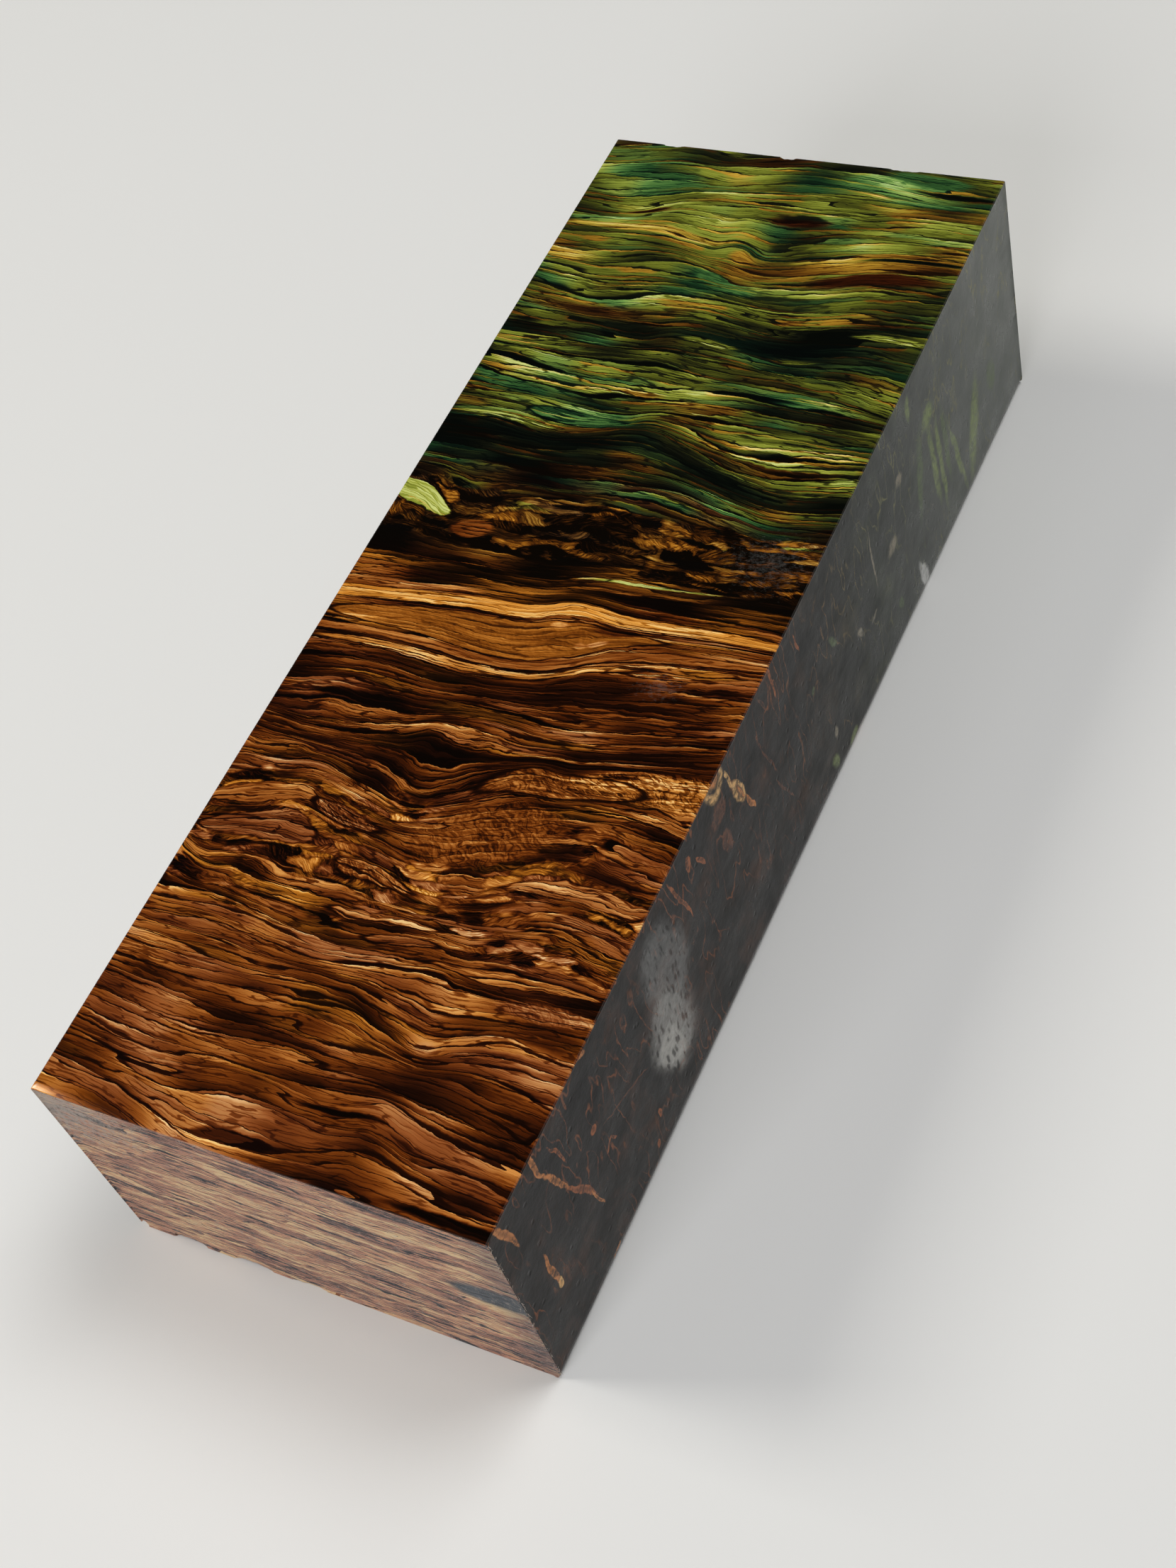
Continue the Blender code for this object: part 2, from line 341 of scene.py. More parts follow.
# Colours of the layers from a black gap to the palest, at these places of a ramp
rampPlaces = (0.0, 0.15, 0.3, 0.45, 0.6, 0.78, 0.9, 1.0)
brownRamps = [  # plain, pinkish and golden layers
    ("#080301", "#220c03", "#481d05", "#73370d", "#98541d", "#c27c38", "#de9c50", "#f6c87c"),
    ("#080302", "#230c04", "#4b1f0a", "#763a15", "#9a572a", "#c3864e", "#dfaa70", "#f1cf9a"),
    ("#080401", "#231003", "#4d2707", "#7c430e", "#a46118", "#cf842c", "#eca446", "#fccf7e"),
]
greenRamps = [  # plain, teal and rusty layers
    ("#040603", "#12140a", "#2b2d0f", "#4a4e16", "#6a7122", "#8d9635", "#adb149", "#cfd680"),
    ("#020605", "#0a1a10", "#15311a", "#2b4f26", "#467036", "#70984a", "#9abb62", "#c6dc94"),
    ("#080401", "#201005", "#452609", "#6c4511", "#93691c", "#bb912d", "#d5b145", "#ead47c"),
]


def heightOnGuide(line, x):
    # a smooth curve through the guide line's points
    index = max(1, min(len(line) - 1, sum(1 for spot, _ in line if spot <= x)))
    before, start, end, after = (line[max(0, min(len(line) - 1, index + step))] for step in (-2, -1, 0, 1))
    share = (x - start[0]) / (end[0] - start[0])
    startSlope = (end[1] - before[1]) / (end[0] - before[0]) * (end[0] - start[0])
    endSlope = (after[1] - start[1]) / (after[0] - start[0]) * (end[0] - start[0])
    square, cube = share ** 2, share ** 3
    return ((2 * cube - 3 * square + 1) * start[1] + (cube - 2 * square + share) * startSlope
            + (3 * square - 2 * cube) * end[1] + (cube - square) * endSlope)


def writeGrain(piece):
    # gives each point the height that it has in the straightened figure, in mm, read between the guide lines
    beyond = halfLength + 9  # mm, past all the points of the block
    columns = {}
    grain = piece.data.attributes.new("grainHeight", "FLOAT", "POINT")
    for vertex in piece.data.vertices:
        x, y, _ = vertex.co / millimetre
        x = round(x, 2)
        if x not in columns:
            places = [(heightOnGuide(line, x), height) for height, line in grainGuides]
            shiftDown, shiftUp = places[0][1] - places[0][0], places[-1][1] - places[-1][0]
            places.insert(0, (-beyond, -beyond + shiftDown))
            places.append((beyond, beyond + shiftUp))
            columns[x] = places
        places = columns[x]
        index = next(number for number, place in enumerate(places) if place[0] >= y)
        (startY, startHeight), (endY, endHeight) = places[index - 1], places[index]
        share = (y - startY) / (endY - startY)
        grain.data[vertex.index].value = startHeight + share * (endHeight - startHeight)


def straightenGrain(add, place):
    # turns places on the block into places in a figure whose layers run straight across it
    x, _, z = add("SeparateXYZ", place, out=allThree)
    straight = add("Attribute", out=2, attribute_name="grainHeight")
    place = add("CombineXYZ", x, straight, z)
    for middle, reach, parting in grainKnots:
        offset = add("VectorMath SUBTRACT", place, (*middle, 0.0))
        scaled = add("VectorMath MULTIPLY", offset, (1 / reach[0], 1 / reach[1], 0.0))
        near = add("TexGradient", scaled, out=1, gradient_type="QUADRATIC_SPHERE")
        amount = add("Math MULTIPLY", near, -parting)
        flat = add("VectorMath MULTIPLY", offset, (0.0, 1.0, 0.0))
        shift = add("VectorMath SCALE", flat, to={"Scale": amount})
        place = add("VectorMath ADD", place, shift)
    return place


def crowdLayers(add, y):
    # a height that grows faster where the layers lie closer
    crowding = alongLook["crowding"]
    total = 0.0
    grown = [(crowding[0][0], 0.0)]
    for (start, before), (end, after) in zip(crowding, crowding[1:]):
        total += (end - start) * (before + after) / 2
        grown.append((end, total))
    share = alongBlock(add, y, [(place, height / total) for place, height in grown])
    return add("Math MULTIPLY", share, total)


def layersOf(add, place, look, crowded=True):
    # Stacked layers that pinch and swell. Gives each spot's height in its layer (0 to 1), and a tone,
    # a hue and a gap that run along the layer.
    x, y, _ = add("SeparateXYZ", place, out=allThree)
    if crowded:
        y = crowdLayers(add, y)
    swell = noiseOver(add, place, *look["size"], detail=1.5)
    level = add("Math MULTIPLY_ADD", y, 1 / look["thickness"], look["seed"])
    level = add("Math MULTIPLY_ADD", swell, look["swell"], level)
    height = add("Math FRACT", level)
    number = add("Math FLOOR", level)
    own = add("Math MULTIPLY", number, 5.173)  # any step that puts each layer elsewhere in the noise
    along = add("Math MULTIPLY_ADD", x, 1 / look["run"], look["seed"])
    spot = add("CombineXYZ", along, own, 0.0)
    drawn = add("TexNoise", to={"Vector": spot, "Scale": 1.0, "Detail": 1.0}, out=1, noise_dimensions="2D")
    return height, *add("SeparateColor", drawn, out=allThree)


def figureNodes(add):
    # The colour of the wood's figure along its fibres
    look = figureLook
    place = placeInMillimetres(add)
    y = add("SeparateXYZ", place, out=1)
    here = {name: alongBlock(add, y, profile) for name, profile in alongLook.items() if name != "crowding"}

    grain = straightenGrain(add, place)
    bent = shiftByNoise(add, grain, look["broad"])
    bent = shiftByNoise(add, bent, look["middle"], strength=here["broken"], detail=3.0)
    frayed = shiftByNoise(add, bent, look["fine"])
    frayed = shiftByNoise(add, frayed, look["ragged"])

    ribbonHeight, ribbonTone, ribbonHue, ribbonGap = layersOf(add, frayed, look["ribbon"])
    strandHeight, strandTone, strandHue, strandGap = layersOf(add, frayed, look["strand"])
    threadHeight, threadTone, _, threadGap = layersOf(add, frayed, look["thread"])
    fibre = noiseOver(add, frayed, *look["fibre"], detail=3.0, roughness=0.6)

    # how light each spot is, its hue and whether it took the green dye: first by its stretch and ribbon
    tone = addShares(add, here["bright"], (1.3, ribbonTone))
    hue = add("Math MULTIPLY_ADD", ribbonHue, 1.5, -0.6)
    hue = add("Math MULTIPLY_ADD", strandHue, 0.7, hue)
    hue = add("Math ADD", hue, here["golden"])
    bentY = add("SeparateXYZ", bent, out=1)
    strandShift = add("Math MULTIPLY_ADD", strandTone, look["dyeReach"], bentY)
    dyed = add("MapRange", strandShift, *look["dye"], **smooth)
    dyed = add("Math MAXIMUM", dyed, here["tinged"])
    state = add("CombineXYZ", tone, hue, dyed)
    loose = 1.0  # 1 where no placed layer covers the ribbons
    outline = 1.0  # falls to 0 along the rims of the placed layers
    lively = 1.0  # less where a placed layer is one plain piece of wood
    wrinkled = 0.0
    for middle, reach, levels, softness, *more in placedLayers:
        wrinkles, calm = (*more, 0, 0)[:2]
        offset = add("VectorMath SUBTRACT", frayed, (*middle, 0.0))
        scaled = add("VectorMath MULTIPLY", offset, (1 / reach[0], 1 / reach[1], 0.0))
        inside = add("TexGradient", scaled, **ellipsoid)
        cover = add("MapRange", inside, 0.0, softness, **smooth)
        state = add("Mix", to={0: cover, 4: state, 5: levels}, out=1, data_type="VECTOR")
        bare = add("Math SUBTRACT", 1.0, cover)
        loose = add("Math MULTIPLY", loose, bare)
        if softness <= look["outlined"]:
            rim = add("Math MULTIPLY", cover, bare)
            clear = add("Math MULTIPLY_ADD", rim, -3.4, 1.0)
            outline = add("Math MULTIPLY", outline, clear)
        if calm:
            stirred = add("Math MULTIPLY_ADD", cover, -calm, 1.0)
            lively = add("Math MULTIPLY", lively, stirred)
        if wrinkles:
            wrinkled = add("Math MULTIPLY_ADD", cover, wrinkles, wrinkled)
    tone, hue, dyed = add("SeparateXYZ", state, out=allThree)

    # then by its strand, its threads and its own fibres, and by its height in the ribbon, strand and thread,
    # which paints shade across each layer: lighter towards its edge on the green-end side, as if each were a
    # fold lit from there
    contrast = add("MapRange", tone, 0.0, 0.35, 0.3, 1.0)
    contrast = productOf(add, contrast, here["contrast"], lively)
    detail = addShares(add, 0.0, (0.42, threadTone), (0.40, fibre), (0.06, threadHeight))
    detail = add("Math MULTIPLY", detail, here["fineness"])
    detail = addShares(add, detail, (1.06, strandTone), (0.22, strandHeight))
    creases = add("VectorRotate", to={"Vector": frayed, "Angle": look["creaseTurn"]}, rotation_type="Z_AXIS")
    crease = noiseOver(add, creases, *look["crease"], detail=3.0, distortion=1.8)
    crease = add("MapRange", crease, 0.34, 0.64, -0.5, 0.5)
    detail = add("Math MULTIPLY_ADD", crease, wrinkled, detail)
    # painted shade across each ribbon, lighter towards its top
    shade = add("MapRange", ribbonHeight, 0.0, 1.0, -0.12, 0.12)
    detail = add("Math MULTIPLY_ADD", shade, loose, detail)
    tone = add("Math MULTIPLY_ADD", detail, contrast, tone)

    # painted highlights as bright rims along the tops of some layers, and golden rims of their own colour
    # along some of the green strands
    for height, chance, start, end, amount, where in (
            (ribbonHeight, strandGap, 0.86, 0.97, 0.30, contrast),
            (strandHeight, ribbonGap, 0.7, 0.97, 0.2, contrast),
            (strandHeight, strandGap, 0.66, 0.92, 0.5, dyed)):
        rim = add("MapRange", height, start, end, 0.0, amount, **smooth)
        some = add("MapRange", chance, 0.46, 0.6, **smooth)
        some = add("Math MULTIPLY", some, where)
        if where == dyed:
            hue = add("Math MULTIPLY_ADD", rim, some, hue)
        else:
            tone = add("Math MULTIPLY_ADD", rim, some, tone)

    # black gaps where layers part
    ribbonDepth = add("Math MULTIPLY", loose, here["gaps"])
    strandDepth = add("Math MULTIPLY", lively, 0.75)
    threadDepth = productOf(add, lively, 0.4, here["fineness"])
    for height, opening, least, most, depth in (
            (ribbonHeight, ribbonGap, 0.06, 0.30, ribbonDepth),
            (strandHeight, strandGap, 0.09, 0.42, strandDepth),
            (threadHeight, threadGap, 0.14, 0.5, threadDepth)):
        gap = add("MapRange", opening, 0.5, 0.8, least, most)
        near = add("Math DIVIDE", height, gap)
        dark = add("MapRange", near, 0.6, 1.25, 1.0, 0.0, **smooth)
        tone = takeAway(add, tone, add("Math MULTIPLY", dark, depth))
    tone = add("Math MULTIPLY", tone, outline)
    cracks = look["cracks"]
    crack = noiseOver(add, frayed, *cracks["size"], detail=2.5, roughness=0.55)
    crack = linesOf(add, crack, cracks["lines"])
    width = add("Math MULTIPLY", threadTone, cracks["width"] * 2)
    crack = add("Math DIVIDE", crack, width)
    crack = add("MapRange", crack, 0.4, 1.3, 0.56, 0.0, **smooth)
    tone = takeAway(add, tone, productOf(add, crack, here["gaps"], lively))

    # broken chips of wood, each with its own tone and grain, and dark between them
    chip = look["chip"]
    spread = shiftByNoise(add, frayed, look["chipBend"], detail=4.0)
    perChip = (1 / chip["size"][0], 1 / chip["size"][1], 0.0)
    spread = {"Vector": add("VectorMath MULTIPLY", spread, perChip), "Scale": 1.0}
    own, centre = add("TexVoronoi", to=spread, out=(1, 2), voronoi_dimensions="2D")
    rim = add("TexVoronoi", to=spread, voronoi_dimensions="2D", feature="DISTANCE_TO_EDGE")
    chipTurn, chipTone, chipHue = add("SeparateColor", own, out=allThree)
    middle = add("VectorMath MULTIPLY", centre, (*chip["size"], 0.0))
    offset = add("VectorMath SUBTRACT", frayed, middle)
    angle = add("Math MULTIPLY_ADD", chipTurn, chip["turn"], -chip["turn"] / 2)
    offset = add("VectorRotate", to={"Vector": offset, "Angle": angle}, rotation_type="Z_AXIS")
    perGrain = (1 / chip["grain"][0], 1 / chip["grain"][1], 0.0)
    grained = add("VectorMath MULTIPLY", offset, perGrain)
    grained = add("VectorMath ADD", grained, own)
    chipGrain = add("TexNoise", to={"Vector": grained, "Scale": 1.0, "Detail": 3.0, "Roughness": 0.6},
                    noise_dimensions="2D")
    chipShade = add("Math MULTIPLY_ADD", chipTone, 1.1, -0.54)
    chipShade = add("Math ADD", chipShade, here["bright"])
    chipShade = addShares(add, chipShade, (1.7, chipGrain))
    apart = add("MapRange", rim, 0.0, 0.22, 0.45, 1.0, **smooth)
    chipShade = add("Math MULTIPLY", chipShade, apart)
    patch = noiseOver(add, bent, *chip["patch"])
    chipped = add("Math ADD", patch, here["chipped"])
    chipped = add("MapRange", chipped, 0.92, 1.12, 0.0, 0.82, **smooth)
    chipped = add("Math MULTIPLY", chipped, loose)
    tone = add("Mix", to={0: chipped, 2: tone, 3: chipShade})
    hueShift = add("Math SUBTRACT", chipHue, 0.5)
    hueShift = add("Math MULTIPLY", hueShift, chipped)
    hue = add("Math MULTIPLY_ADD", hueShift, 1.1, hue)

    # brown wood with pinkish and golden layers, green wood with teal and rusty ones
    toSecond = add("MapRange", hue, 0.40, 0.15)
    toThird = add("MapRange", hue, 0.60, 0.85)
    woods = []
    for ramps in (brownRamps, greenRamps):
        first, second, third = (add("ValToRGB", tone, stops=zip(rampPlaces, ramp)) for ramp in ramps)
        woods.append(layOver(add, first, (toSecond, second), (toThird, third)))
    brown, green = woods
    return layOver(add, brown, (dyed, green))


polishedLook = {
    "waves": (5.0, 0.5),  # mm, the faint unevenness that follows the grain
    # pale scuffs near the right edge: middle and half sizes in mm
    "scuffs": [((18.5, 8.0, 29.0), (6.0, 5.0, 40.0)), ((14.0, -8.5, 29.0), (3.6, 2.2, 40.0))],
    "scuffed": "#a3a29d",
}


def polishedWood():
    # Stabilised figured wood, sanded and polished: compressed, torn layers under a clear, wet-looking surface
    look = polishedLook
    material, add = newMaterial("polishedStabilisedWood")
    colour = figureNodes(add)
    place = placeInMillimetres(add)
    x = add("SeparateXYZ", place, out=0)
    grain = add("Attribute", out=2, attribute_name="grainHeight")
    along = add("Math MULTIPLY", x, 1 / look["waves"][0])
    over = add("Math MULTIPLY", grain, 1 / look["waves"][1])
    fibres = add("CombineXYZ", along, over, 0.0)
    waves = add("TexNoise", to={"Vector": fibres, "Scale": 1.0, "Detail": 3.0, "Distortion": 0.4},
                noise_dimensions="2D")
    relief = add("Bump", to={"Strength": 0.35, "Distance": 0.0005, "Height": waves})
    specks = add("VectorMath MULTIPLY", place, (1.6, 2.6, 0.0))
    specks = add("TexNoise", to={"Vector": specks, "Scale": 1.0, "Detail": 6.0, "Roughness": 0.8},
                 noise_dimensions="2D")
    for middle, reach in look["scuffs"]:
        inside = insideEllipse(add, place, middle, reach)
        scuffed = add("Math MULTIPLY_ADD", inside, 0.24, specks)
        scuffed = add("MapRange", scuffed, 0.62, 0.94, 0.0, 0.15)
        inside = add("MapRange", inside, 0.0, 0.15)
        scuffed = add("Math MULTIPLY", scuffed, inside)
        colour = layOver(add, colour, (scuffed, look["scuffed"]))
    finishMaterial(add, {
        "Base Color": colour, "Roughness": 0.5, "IOR": 1.5, "Specular IOR Level": 0.0, "Normal": relief,
        "Coat Weight": 1.0, "Coat Roughness": 0.06, "Coat IOR": 1.5})
    return material


def sandedWood(polished):
    # The same figure sanded but not polished, as under the block: duller and paler, with sanding scratches
    material = polished.copy()
    material.name = "sandedStabilisedWood"
    tree = material.node_tree
    add = functools.partial(addNode, tree)
    shader = next(node for node in tree.nodes if node.type == "BSDF_PRINCIPLED")
    figure = shader.inputs["Base Color"].links[0].from_socket
    place = placeInMillimetres(add)
    turned = add("Mapping", place, to={"Rotation": (0, 0, math.radians(38)), "Scale": (0.5, 9.0, 1.0)})
    scratch = add("TexNoise", to={"Vector": turned, "Scale": 1.0, "Detail": 4.0, "Roughness": 0.7},
                  noise_dimensions="2D")
    z = add("SeparateXYZ", place, out=2)
    thickest = add("MapRange", z, 2.0, 20.0, 1.0, 0.15)
    dust = add("MapRange", scratch, 0.35, 0.75, 0.12, 0.30)
    dust = add("Math MULTIPLY", dust, thickest)
    colour = layOver(add, figure, (dust, "#8d8474"))
    relief = add("Bump", to={"Strength": 0.5, "Distance": 0.0001, "Height": scratch})
    tree.links.new(colour, shader.inputs["Base Color"])
    tree.links.new(relief, shader.inputs["Normal"])
    shader.inputs["Roughness"].default_value = 0.62
    shader.inputs["Specular IOR Level"].default_value = 0.2
    shader.inputs["Coat Weight"].default_value = 0.0
    return material


strandColours = {
    "amber": "#cc854c", "rust": "#a4623c", "tan": "#e3b577", "umber": "#6a4330", "ash": "#8b8371",
    "leaf": "#7d8a58", "moss": "#5d6a4a", "coal": "#1f1815",
}
# Strands that the end grain shows on the sides, as (along, up) in mm: middle, half sizes, how far each leans
# in degrees, and its colour
endGrainStrands = [
    ((-61.8, 24.4), (0.42, 3.9), 12, "amber"), ((-59.3, 12.6), (0.36, 3.4), 4, "amber"),
    ((-59.0, 9.9), (0.42, 0.8), 0, "tan"), ((-55.7, 25.6), (0.4, 3.6), 2, "amber"),
    ((-54.4, 19.9), (0.36, 3.6), 22, "amber"), ((-52.0, 14.2), (0.4, 4.2), 24, "rust"),
    ((-50.7, 10.4), (0.22, 2.2), 12, "amber"), ((-53.0, 22.6), (0.24, 2.9), 14, "rust"),
    ((-46.4, 27.6), (0.42, 1.7), 48, "amber"), ((-38.8, 27.9), (0.3, 1.2), 18, "rust"),
    ((-48.1, 17.7), (0.62, 0.55), 0, "rust"), ((-42.6, 14.6), (0.16, 4.9), 66, "umber"),
    ((-46.8, 13.2), (0.22, 1.1), -55, "rust"), ((-45.7, 13.0), (0.2, 0.8), 35, "rust"),
    ((-39.3, 5.8), (0.4, 0.8), 8, "rust"), ((-40.9, 2.7), (0.4, 0.6), 0, "rust"),
    ((-51.2, 0.9), (0.9, 0.34), 10, "amber"), ((-26.8, 22.6), (0.22, 4.6), 16, "rust"),
    ((-24.0, 24.4), (0.6, 1.1), 0, "rust"), ((-22.1, 22.4), (0.3, 1.4), 26, "rust"),
    ((-17.2, 27.7), (2.15, 3.1), 10, "tan"), ((-17.1, 28.4), (1.65, 2.6), 10, "coal"),
    ((-17.0, 28.8), (1.15, 2.1), 10, "amber"), ((-17.0, 29.2), (0.7, 1.6), 10, "umber"),
    ((-17.6, 23.3), (1.7, 1.6), 0, "umber"), ((-14.7, 24.7), (0.34, 1.9), 8, "tan"),
    ((-13.5, 21.5), (0.95, 2.4), 20, "tan"), ((-13.4, 21.3), (0.48, 1.8), 20, "umber"),
    ((-13.2, 21.0), (0.22, 1.5), 20, "amber"), ((-12.1, 18.1), (0.34, 2.1), 16, "amber"),
    ((-17.3, 18.9), (1.0, 1.7), 12, "umber"), ((-7.5, 18.8), (0.16, 4.2), 18, "umber"),
    ((-5.8, 12.0), (0.16, 3.6), 22, "umber"), ((-3.9, 25.6), (0.2, 2.6), 4, "rust"),
    ((2.1, 24.8), (0.2, 1.5), 12, "rust"), ((-6.2, 25.6), (0.2, 1.7), 16, "umber"),
    ((9.0, 17.0), (0.34, 1.7), 34, "moss"), ((3.3, 16.0), (0.34, 0.6), 10, "moss"),
    ((14.9, 11.4), (0.34, 1.3), 24, "ash"), ((18.2, 10.1), (0.6, 0.34), 10, "ash"),
    ((19.9, 17.0), (0.16, 5.4), 0, "ash"), ((24.9, 13.9), (1.0, 1.2), 0, "ash"),
    ((28.5, 19.7), (0.7, 1.0), 0, "ash"), ((4.6, 2.8), (0.6, 1.5), 30, "leaf"),
    ((9.5, 1.2), (0.8, 0.9), 20, "leaf"), ((5.8, 6.2), (0.34, 1.0), 0, "ash"),
    ((24.8, 5.0), (0.4, 1.3), 22, "moss"), ((32.8, 25.4), (0.5, 2.0), -10, "leaf"),
    ((33.6, 15.4), (0.6, 7.0), -12, "moss"), ((37.0, 20.4), (1.3, 1.7), 10, "leaf"),
    ((37.3, 13.2), (0.55, 8.0), 4, "leaf"), ((39.2, 11.4), (0.45, 9.0), 2, "leaf"),
    ((41.0, 12.6), (0.45, 7.5), 4, "moss"), ((43.4, 8.5), (0.35, 9.0), 14, "leaf"),
    ((48.6, 7.6), (1.0, 8.0), -16, "leaf"), ((54.9, 9.6), (0.9, 2.6), 10, "moss"),
]


endGrainLook = {
    # the left side was cut elsewhere, so there the same strands lie this much further along, in mm, and
    # upside down
    "leftShift": 5.0,
    "swirl": {"size": (3.6, 5.0, 30.0), "shift": (1.5, 1.2, 0.0)},
    "curl": {"size": (0.9, 1.4, 30.0), "shift": (0.42, 0.42, 0.0)},
    "brownClouds": [(0.36, "#0f0e0d"), (0.52, "#1c1815"), (0.64, "#38261d"), (0.78, "#54331f")],
    "greenClouds": [(0.34, "#101311"), (0.52, "#1e221d"), (0.64, "#31362b"), (0.80, "#4a4c34")],
    # a painted reflection: a grey haze laid over the sides, growing towards the far end
    "paintedReflection": "#6f736d",
    # spots on the right side, rubbed glossier and given a painted highlight, and a small painted glint near
    # its lower edge: middle and half sizes in mm, lean, how far, and colour
    "highlightAndGreyEdge": [
        ((-31.8, 19.0), (5.6, 8.8), 12, 0.6, "#666663"), ((-33.6, 11.6), (5.2, 8.4), 10, 0.9, "#84827c"),
        ((-34.6, 9.4), (2.8, 5.2), 10, 0.8, "#b3b0a8"), ((31.4, 2.4), (1.3, 3.8), 24, 1.0, "#b8b8b4")],
    "lines": {"count": 5.0, "width": 0.10, "brown": "#8a5231", "green": "#7c7a52"},
}


def resinEndGrain():
    # End grain soaked dark with resin and sanded: nearly black, satin, with stray strands and small pits
    look = endGrainLook
    material, add = newMaterial("resinSoakedEndGrain")
    place = placeInMillimetres(add)
    x, y, z = add("SeparateXYZ", place, out=allThree)
    left = add("Math LESS_THAN", x, 0.0)
    right = add("Math SUBTRACT", 1.0, left)
    along = add("Math MULTIPLY_ADD", left, look["leftShift"], y)
    flip = add("Math MULTIPLY_ADD", z, -2.0, 28.0)
    up = add("Math MULTIPLY_ADD", flip, left, z)
    flat = add("CombineXYZ", along, up, x)
    bent = shiftByNoise(add, shiftByNoise(add, flat, look["swirl"]), look["curl"])

    # clouds of brown at the brown end, and of grey green at the other, under a painted reflection: a pale
    # grey haze that grows towards the far end
    clouds = add("TexNoise", to={"Vector": bent, "Scale": 0.16, "Detail": 5.0, "Roughness": 0.65})
    toGreen = add("MapRange", y, -8.0, 26.0, **smooth)
    toFar = add("MapRange", y, 5.0, 62.0, **smooth)
    brown = add("ValToRGB", clouds, stops=look["brownClouds"])
    green = add("ValToRGB", clouds, stops=look["greenClouds"])
    paintedReflectionShare = add("Math MULTIPLY", toFar, 0.72)
    colour = layOver(add, brown, (toGreen, green), (paintedReflectionShare, look["paintedReflection"]))

    # painted highlights on the rubbed, glossier spots, broken by pits where no highlight is painted
    gloss = 0.0
    grainy = add("TexNoise", to={"Vector": bent, "Scale": 1.6, "Detail": 4.0, "Roughness": 0.7})
    wisps = add("MapRange", grainy, 0.34, 0.58, 0.25, 1.0)
    paintedShine = add("MapRange", grainy, 0.34, 0.62, 0.60, 1.0)
    ragged = add("TexNoise", to={"Vector": bent, "Scale": 0.34, "Detail": 5.0, "Roughness": 0.65})
    ragged = add("MapRange", ragged, 0.0, 1.0, -0.5, 0.5)
    pitted = add("VectorMath MULTIPLY", bent, (1.3, 0.42, 0.0))
    pitted = add("TexVoronoi", to={"Vector": pitted, "Scale": 1.0}, voronoi_dimensions="2D")
    pitted = add("Math MULTIPLY_ADD", ragged, 1.1, pitted)
    pitted = add("MapRange", pitted, 0.0, 0.34, 0.15, 1.0, **smooth)
    paintedShine = productOf(add, paintedShine, pitted, right)
    for middle, reach, lean, share, tint in look["highlightAndGreyEdge"]:
        inside = insideEllipse(add, bent, middle, reach, lean)
        within = add("MapRange", inside, 0.0, 0.5, **smooth)
        inside = add("Math ADD", inside, ragged)
        highlightAndGreyEdge = add("MapRange", inside, 0.0, 0.55, 0.0, share, **smooth)
        highlightAndGreyEdge = productOf(add, highlightAndGreyEdge, within, paintedShine)
        colour = layOver(add, colour, (highlightAndGreyEdge, tint))
        gloss = add("Math MAXIMUM", highlightAndGreyEdge, gloss)

    # faint lines where layers were cut through, closest together at the top edge
    lines = look["lines"]
    leaning = add("Mapping", bent, to={"Rotation": (0, 0, math.radians(-12)), "Scale": (0.30, 0.085, 0.0)})
    contours = add("TexNoise", to={"Vector": leaning, "Scale": 1.0, "Detail": 2.5}, noise_dimensions="2D")
    offLine = linesOf(add, contours, lines["count"])
    line = add("MapRange", offLine, 0.0, lines["width"], 1.0, 0.0, **smooth)
    patches = add("TexNoise", to={"Vector": flat, "Scale": 0.13, "Detail": 2.0})
    nearTop = add("MapRange", z, 8.0, 29.0, 0.0, 0.16)
    patches = add("Math ADD", patches, nearTop)
    patches = add("MapRange", patches, 0.48, 0.68, 0.0, 0.9)
    strandDepth = add("MapRange", grainy, 0.38, 0.56, 0.15, 1.0)
    line = productOf(add, line, patches, strandDepth)
    lineColour = layOver(add, lines["brown"], (toGreen, lines["green"]))
    colour = layOver(add, colour, (line, lineColour))

    # the strands that stand out, the greenish ones wider, soft and seen through the painted reflection
    for middle, (halfWidth, halfHeight), lean, tint in endGrainStrands:
        soft = tint in ("leaf", "moss", "ash")
        halfWidth = halfWidth * (1.7 if soft else 1.0)
        inside = insideEllipse(add, bent, middle, (halfWidth, halfHeight), lean)
        cover = add("MapRange", inside, 0.0, 0.6 if soft else 0.25, **smooth)
        if not soft:
            core = add("MapRange", inside, 0.35, 0.8, 1.0, 0.5)
            cover = add("Math MULTIPLY", cover, core)
        cover = add("Math MULTIPLY", cover, wisps if soft else strandDepth)
        colour = layOver(add, colour, (cover, strandColours[tint]))

    # pits and sanding scratches
    bent = shiftByNoise(add, placeInMillimetres(add), {"size": (30.0, 2.0, 2.6), "shift": (0.0, 0.7, 0.7)})
    cells = add("TexVoronoi", to={"Vector": bent, "Scale": 0.55}, feature="F1")
    pit = add("MapRange", cells, 0.06, 0.20, 1.0, 0.0, **smooth)
    waves = add("TexNoise", to={"Vector": bent, "Scale": 0.5, "Detail": 6.0, "Roughness": 0.62})
    height = add("Math MULTIPLY_ADD", pit, -0.5, waves)
    relief = add("Bump", to={"Strength": 0.3, "Distance": 0.00022, "Height": height})
    smudge = add("TexNoise", to={"Vector": flat, "Scale": 0.22, "Detail": 4.0, "Roughness": 0.6})
    roughness = add("MapRange", smudge, 0.3, 0.7, 0.22, 0.42)
    finishMaterial(add, {
        "Base Color": colour, "Roughness": roughness, "IOR": 1.5, "Specular IOR Level": 0.13,
        "Normal": relief, "Coat Weight": gloss, "Coat Roughness": 0.28, "Coat IOR": 1.5,
        "Coat Normal": relief})
    return material


